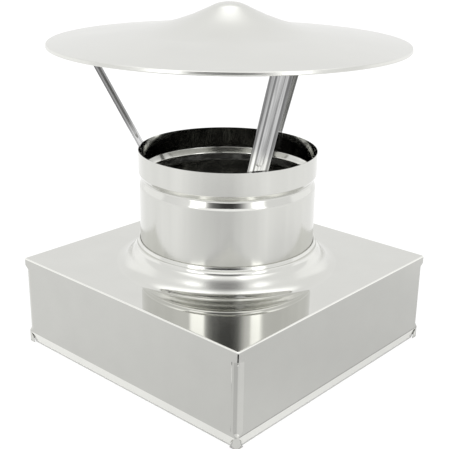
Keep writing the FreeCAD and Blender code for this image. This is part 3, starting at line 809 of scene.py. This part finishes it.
def strap_finish(name, tone):
    """Tone of the strap: lines along it, times the foot's painted highlight fading to the leg's lit
    or shaded tone, times the painted shade curve across its width."""
    material = polished_sheet(name, 0.60, 0.14)
    strip = add_node(material, "ShaderNodeAttribute", attribute_name="strip")
    parts = add_node(material, "ShaderNodeSeparateXYZ")
    feed(material, (strip, "Vector"), parts, "Vector")
    stretch = add_node(material, "ShaderNodeMapping", Scale=(1.0, 0.02, 0.0))
    feed(material, (strip, "Vector"), stretch, "Vector")
    lines = noise(material, (stretch, "Vector"), Scale=300.0, Detail=3.0, Roughness=0.7)
    depth = ranged(material, lines, (0.35, 0.65, 0.45, 1.0))
    shine = ranged(material, (parts, "Y"), (*FOOT_SHINE, FOOT_HIGHLIGHT_TONE, tone), smooth=True)
    across = ranged(material, (parts, "Z"), (-LEG_WIDTH / 2, LEG_WIDTH / 2, 0, 1))
    edges = curved(material, across, STRAP_PAINTED_SHADE)
    whole = maths(material, "MULTIPLY", maths(material, "MULTIPLY", depth, shine), edges)
    feed(material, whole, material.node_tree.nodes["Principled BSDF"], "Base Color")
    return material


STRAPS = {leg: strap_finish(leg.replace("leg", "strap"), tone)
          for leg, tone in LEG_LIT_AND_SHADED_TONES.items()}
print("strap finishes", [material.name for material in STRAPS.values()])

# %% [markdown]
# The rib is pressed into the flat strap: each point is lifted off the path by the rib's
# height, full inside the rib, nothing outside, and a smooth step over the rib's flank. The rib
# ends in half circles before the bends, so its outline is a line with a width around it.

# %% Rib of a leg
RIB_WIDTH = 8 * MM
RIB_HEIGHT = 1.8 * MM
RIB_FLANK = 1.4 * MM
RIB_END = 8 * MM


def rib_lift(length, across, tab, rise):
    """Height of the rib over each point: RIB_HEIGHT * (3 t ** 2 - 2 t ** 3), where t is the
    distance inside the rib's outline as a share of its flank, held between 0 and 1."""
    first = tab + RIB_END + RIB_WIDTH / 2
    last = tab + rise - RIB_END - RIB_WIDTH / 2
    beyond = length[:, None] - np.clip(length[:, None], first, last)
    inside = RIB_WIDTH / 2 - np.hypot(beyond, across)
    step = np.clip(inside / RIB_FLANK, 0, 1)
    return RIB_HEIGHT * (3 * step ** 2 - 2 * step ** 3)


print("rib at its middle", 1000 * rib_lift(np.array([50 * MM]), np.zeros(1), 0, 100 * MM)[0, 0], "mm")

# %% [markdown]
# The strap's two faces are the same grid at two depths, joined round their edges, and the two
# ends are closed by a row of quads. Each leg is then turned to its place round the pipe.

# %% Legs
STRAP_COLUMNS = 47


def end_caps(rows, width):
    """Quads that close the first and the last row of a strap whose columns go out and back."""
    across = np.arange(width)
    caps = []
    for row in (0, rows - 1):
        near = row * 2 * width + across
        far = row * 2 * width + 2 * width - 1 - across
        caps.append(np.stack([near[:-1], near[1:], far[1:], far[:-1]], 1))
    return np.concatenate(caps)


def make_leg(name, degrees):
    """Path and width span the grid: radius and height come from the path, moved along its
    left-hand side by depth - lift, and the whole is turned about Z."""
    corners = leg_corners()
    path, heading = bent_path(corners, LEG_STEP)
    length = np.concatenate([[0], np.cumsum(np.linalg.norm(np.diff(path, axis=0), axis=1))])
    across = np.linspace(-LEG_WIDTH / 2, LEG_WIDTH / 2, STRAP_COLUMNS)
    rise = np.linalg.norm(np.array(corners[2][:2]) - np.array(corners[1][:2]))
    lift = rib_lift(length, across, corners[1][1] - corners[0][1], rise)
    left = np.stack([-np.sin(heading), np.cos(heading)], 1)
    turn = math.radians(degrees)
    faces_of_strap = []
    for depth in (0.0, LEG_SHEET):
        radius = path[:, :1] + left[:, :1] * (depth - lift)
        height = path[:, 1:] + left[:, 1:] * (depth - lift)
        x = radius * math.cos(turn) - across * math.sin(turn)
        y = radius * math.sin(turn) + across * math.cos(turn)
        faces_of_strap.append(np.stack([x, y, height], -1))
    grid = np.concatenate([faces_of_strap[0], faces_of_strap[1][:, ::-1]], 1)
    strip = np.zeros_like(grid)
    strip[..., 2] = np.concatenate([across, across[::-1]])
    strip[..., 1] = length[:, None]
    strip[..., 0] = strip[..., 2] + turn
    quads = [grid_faces(*grid.shape[:2], ring_columns=True), end_caps(len(path), STRAP_COLUMNS)]
    piece = new_piece(name + "_skin", grid, np.concatenate(quads), [STRAPS[name]], strip=strip)
    stand_for(piece, name)


for leg_name, leg_angle in LEG_ANGLES.items():
    make_leg(leg_name, leg_angle)

# %% [markdown]
# A mirror shows its room, so the room is most of the look. This one is a white tent on a white
# floor, and all of it is turned towards the camera: one direction points at the camera and
# one to its right, both level.

# %% Directions of the stage
CAMERA_AZIMUTH = math.radians(-47.957)
TOWARDS_CAMERA = np.array([math.sin(CAMERA_AZIMUTH), -math.cos(CAMERA_AZIMUTH)])
TO_THE_RIGHT = np.array([-TOWARDS_CAMERA[1], TOWARDS_CAMERA[0]])


def stage_material(name):
    """Material with an empty tree."""
    material = bpy.data.materials.new(name)
    material.use_nodes = True
    material.node_tree.nodes.clear()
    return material


print("towards the camera", TOWARDS_CAMERA.round(3), "to the right", TO_THE_RIGHT.round(3))

# %% [markdown]
# The floor is lit and keeps the object's soft shadow, but most of what the camera and the metal
# see of it is plain white, so that the picture has a white ground without more light on the
# object. Under the hood the white stops and only a faint mottle is left, because the light of
# a real room does not reach there. For mirrored rays alone two round patches of painted shade
# are a little darker, one before the object and one at its right, which gives the walls their grey.

# %% Floor
FLOOR_REACH = 8.0
FLOOR_DROP = 0.05 * MM
LIT_TONE = 0.8
SHADOW_TONE = 0.2
PLAIN_WHITE = 0.83
HOOD_EDGE = (HALF - 10 * MM, HALF - 5 * MM)
MOTTLE = (0.45, 0.7, 0.0, 0.12)
# Painted shade on the floor, for mirrored rays only.
MIRRORED_SHADE_PATCHES = [(0.78 * TOWARDS_CAMERA - 0.10 * TO_THE_RIGHT, (0.12, 0.75, 0.6, 1.0)),
                    (0.10 * TOWARDS_CAMERA + 0.32 * TO_THE_RIGHT, (0.12, 0.32, 0.84, 1.0))]


def grey_matt(material, tone):
    """Diffuse shader of one tone."""
    return add_node(material, "ShaderNodeBsdfDiffuse", Color=(tone, tone, tone, 1)), "BSDF"


def patch_share(material, place, middle, stops):
    """Smooth step of the distance from a patch's middle."""
    distance = add_node(material, "ShaderNodeVectorMath", operation="DISTANCE")
    distance.inputs[1].default_value = (*middle, 0)
    feed(material, place, distance, 0)
    return ranged(material, (distance, "Value"), stops, smooth=True)


def plain_white(material, place, camera_ray):
    """Strength of the floor's own white: the larger of |x| and |y| tells whether a point lies
    under the hood, and mirrored rays have it times both patches."""
    parts = add_node(material, "ShaderNodeSeparateXYZ")
    feed(material, place, parts, "Vector")
    away = [maths(material, "ABSOLUTE", (parts, axis), 0) for axis in "XY"]
    mottle = ranged(material, noise(material, place, Scale=40.0, Detail=3.0), MOTTLE, smooth=True)
    glow = ranged(material, maths(material, "MAXIMUM", *away), (*HOOD_EDGE, mottle, PLAIN_WHITE))
    patches = [patch_share(material, place, *patch) for patch in MIRRORED_SHADE_PATCHES]
    mirrored = maths(material, "MULTIPLY", *patches)
    return maths(material, "MULTIPLY", glow, mixed(material, mirrored, 1.0, camera_ray))


def floor_material():
    """Matt floor for all rays but those of the camera and of the metal, which see mostly plain
    white and a smaller share of that matt floor."""
    material = stage_material("pale_floor")
    output = add_node(material, "ShaderNodeOutputMaterial")
    place = add_node(material, "ShaderNodeTexCoord"), "Object"
    rays = add_node(material, "ShaderNodeLightPath")
    seen = maths(material, "MAXIMUM", (rays, "Is Camera Ray"), (rays, "Is Glossy Ray"))
    seen = maths(material, "MAXIMUM", seen, (rays, "Is Transmission Ray"))
    white = add_node(material, "ShaderNodeEmission", Color=(1, 1, 1, 1))
    feed(material, plain_white(material, place, (rays, "Is Camera Ray")), white, "Strength")
    seen_floor = add_node(material, "ShaderNodeAddShader")
    feed(material, grey_matt(material, SHADOW_TONE), seen_floor, 0)
    feed(material, (white, "Emission"), seen_floor, 1)
    choice = add_node(material, "ShaderNodeMixShader")
    feed(material, seen, choice, 0)
    feed(material, grey_matt(material, LIT_TONE), choice, 1)
    feed(material, (seen_floor, "Shader"), choice, 2)
    feed(material, (choice, "Shader"), output, "Surface")
    material.cycles.emission_sampling = "NONE"
    return material


def make_floor():
    """A square just below the height zero, so that the hood's foot does not flicker in it."""
    side = FLOOR_REACH * np.array([[-1, -1], [1, -1], [1, 1], [-1, 1]])
    points = np.column_stack([side, np.full(4, -FLOOR_DROP)])
    floor = new_piece("floor", points, np.array([[0, 1, 2, 3]]), [floor_material()],
                      closed=False)


make_floor()

# %% [markdown]
# A white panel stands on the floor just behind the camera and ends just above the lens. A
# pipe and the plate it stands on send every ray back the way it came. Rays that meet the
# plate first come back above the lens and find the tent's opening. Rays that meet the pipe
# first come back below it and find this panel, so the pipe itself stays pale.

# %% Panel below the lens
PANEL_DISTANCE = 1.0
PANEL_TOP = 0.50
PANEL_HALF = 0.7
PANEL_STRENGTH = 1.3


def make_panel():
    """Rectangle that stands across the camera's direction."""
    material = stage_material("white_panel")
    output = add_node(material, "ShaderNodeOutputMaterial")
    white = add_node(material, "ShaderNodeEmission", Color=(1, 1, 1, 1), Strength=PANEL_STRENGTH)
    feed(material, (white, "Emission"), output, "Surface")
    across, height = np.meshgrid([-PANEL_HALF, PANEL_HALF], [0.0, PANEL_TOP])
    spot = PANEL_DISTANCE * TOWARDS_CAMERA + across[..., None] * TO_THE_RIGHT
    panel = new_piece("front_panel", np.concatenate([spot, height[..., None]], -1),
                      grid_faces(2, 2), [material], closed=False)


make_panel()

# %% [markdown]
# The tent is a formula of direction alone, because lamps of a size would leave their outlines
# in the metal. To the camera it is plain white. All other rays see that white with four
# changes. It is brighter overhead. Towards the camera it is open, which gives the pipe its
# dark middle, and the opening fades upwards but never closes quite. Beside the opening stand
# two bright panels. Behind the object the two sides glow a little, which lights the outer
# edges of the pipe.

# %% Shape of the tent
OPENING_ACROSS = [(-1.0, 0.0), (-0.47, 0.0), (-0.44, 0.3), (-0.40, 0.6), (-0.35, 0.72),
                  (-0.29, 0.84), (-0.2, 0.88), (-0.11, 0.95), (0.1, 0.96), (0.2, 0.91),
                  (0.29, 0.78), (0.395, 0.3), (0.455, 0.0), (1.0, 0.0)]
OPENING_UP = [(0.0, 0.8), (0.08, 1.0), (0.54, 1.0), (0.62, 0.7), (0.80, 0.5), (1.0, 0.4)]
PANELS_ACROSS = [(-1.0, 0.0), (-0.82, 0.05), (-0.77, 0.0), (-0.72, 0.85), (-0.50, 0.95),
                 (-0.46, 0.0), (0.455, 0.0), (0.53, 0.15), (0.56, 0.75), (0.59, 0.95),
                 (0.71, 0.95), (0.76, 0.25), (0.79, 0.0), (1.0, 0.0)]
PANELS_UP = [(0.0, 0.6), (0.1, 1.0), (0.40, 1.0), (0.49, 0.4), (0.58, 0.1), (0.70, 0.0),
             (1.0, 0.0)]
PANELS_GLOW = 1.9
SIDES_ACROSS = [(-1.0, 1.0), (-0.72, 1.0), (-0.45, 0.0), (0.45, 0.0), (0.72, 1.0), (1.0, 1.0)]
SIDES_UP = [(0.0, 1.0), (0.36, 1.0), (0.42, 0.0), (1.0, 0.0)]
SIDES_GLOW = 0.2
OVERHEAD = (math.sin(math.radians(45)), math.sin(math.radians(64)), 1.0, 2.0)
FRONT = (-0.05, 0.05, 0, 1)
BEHIND = (0.05, -0.05, 0, 1)
print("the opening is darkest at", max(OPENING_ACROSS, key=lambda stop: stop[1])[0])

# %% [markdown]
# A direction is read as two numbers: how far it lies across, from -1 at the left to 1 at the
# right, and how high. A share of the tent is a curve across times a curve upwards, for the
# half that faces the camera or for the one behind.

# %% Tent


def facing(world, level, direction):
    """Cosine between a level direction and a given one."""
    node = add_node(world, "ShaderNodeVectorMath", operation="DOT_PRODUCT")
    node.inputs[1].default_value = (*direction, 0)
    feed(world, level, node, 0)
    return node, "Value"


def level_direction(world, direction):
    """Direction without its height, at length one."""
    flat = add_node(world, "ShaderNodeVectorMath", operation="MULTIPLY")
    flat.inputs[1].default_value = (1, 1, 0)
    feed(world, direction, flat, 0)
    level = add_node(world, "ShaderNodeVectorMath", operation="NORMALIZE")
    feed(world, (flat, "Vector"), level, 0)
    return level, "Vector"


def make_tent():
    """The white, darkened by the opening, plus the panels and the glow of the back sides."""
    world = bpy.data.worlds.new("tent")
    bpy.context.scene.world = world
    world.use_nodes = True
    direction = add_node(world, "ShaderNodeTexCoord"), "Generated"
    level = level_direction(world, direction)
    ahead = facing(world, level, TOWARDS_CAMERA)
    across = ranged(world, facing(world, level, TO_THE_RIGHT), (-1, 1, 0, 1))
    split = add_node(world, "ShaderNodeSeparateXYZ")
    feed(world, direction, split, 0)
    height = split, "Z"

    def share(stops_across, stops_up, half):
        area = maths(world, "MULTIPLY", curved(world, across, stops_across, -1, 1),
                     curved(world, height, stops_up))
        return maths(world, "MULTIPLY", area, ranged(world, ahead, half, smooth=True))

    overhead = ranged(world, height, OVERHEAD, smooth=True)
    opened = mixed(world, overhead, 0.0, share(OPENING_ACROSS, OPENING_UP, FRONT))
    panels = maths(world, "MULTIPLY", share(PANELS_ACROSS, PANELS_UP, FRONT), PANELS_GLOW)
    sides = maths(world, "MULTIPLY", share(SIDES_ACROSS, SIDES_UP, BEHIND), SIDES_GLOW)
    studio = maths(world, "ADD", opened, maths(world, "ADD", panels, sides))
    rays = add_node(world, "ShaderNodeLightPath")
    ground = world.node_tree.nodes["Background"]
    ground.inputs["Color"].default_value = (1, 1, 1, 1)
    feed(world, mixed(world, studio, 1.0, (rays, "Is Camera Ray")), ground, "Strength")
    print("tent of", len(world.node_tree.nodes), "nodes")


make_tent()

# %% [markdown]
# The camera stands where the photograph was taken: the direction, the distance, the lens and
# a turn of one degree about its own axis were worked out from the corners of the hood and
# the ellipse of the rim. The picture is cut a little off the middle, which is a small shift.

# %% Camera
CAMERA_ELEVATION = math.radians(19.889)
CAMERA_ROLL = math.radians(0.778)
CAMERA_DISTANCE = 1.0018
CAMERA_AIM = Vector((0, 0, 0.1463))
CAMERA_LENS = 69.29
CAMERA_SENSOR = 36.0
CAMERA_SHIFT = -0.0054


def make_camera():
    """Columns of the camera's matrix: its right and its up, both rolled, its back, its spot."""
    back = Vector((math.sin(CAMERA_AZIMUTH) * math.cos(CAMERA_ELEVATION),
                   -math.cos(CAMERA_AZIMUTH) * math.cos(CAMERA_ELEVATION),
                   math.sin(CAMERA_ELEVATION)))
    right = (-back).cross(Vector((0, 0, 1))).normalized()
    up = right.cross(-back)
    rolled_right = right * math.cos(CAMERA_ROLL) + up * math.sin(CAMERA_ROLL)
    rolled_up = up * math.cos(CAMERA_ROLL) - right * math.sin(CAMERA_ROLL)
    spot = CAMERA_AIM + back * CAMERA_DISTANCE
    data = bpy.data.cameras.new("camera")
    data.lens = CAMERA_LENS
    data.sensor_width = CAMERA_SENSOR
    data.shift_x = CAMERA_SHIFT
    camera = bpy.data.objects.new("camera", data)
    columns = (rolled_right, rolled_up, back, spot)
    camera.matrix_world = Matrix([[column[row] for column in columns] for row in range(3)]
                                 + [[0, 0, 0, 1]])
    bpy.context.scene.collection.objects.link(camera)
    bpy.context.scene.camera = camera
    print("camera at", [round(value, 3) for value in spot])


make_camera()
bpy.context.scene.view_settings.view_transform = "Standard"
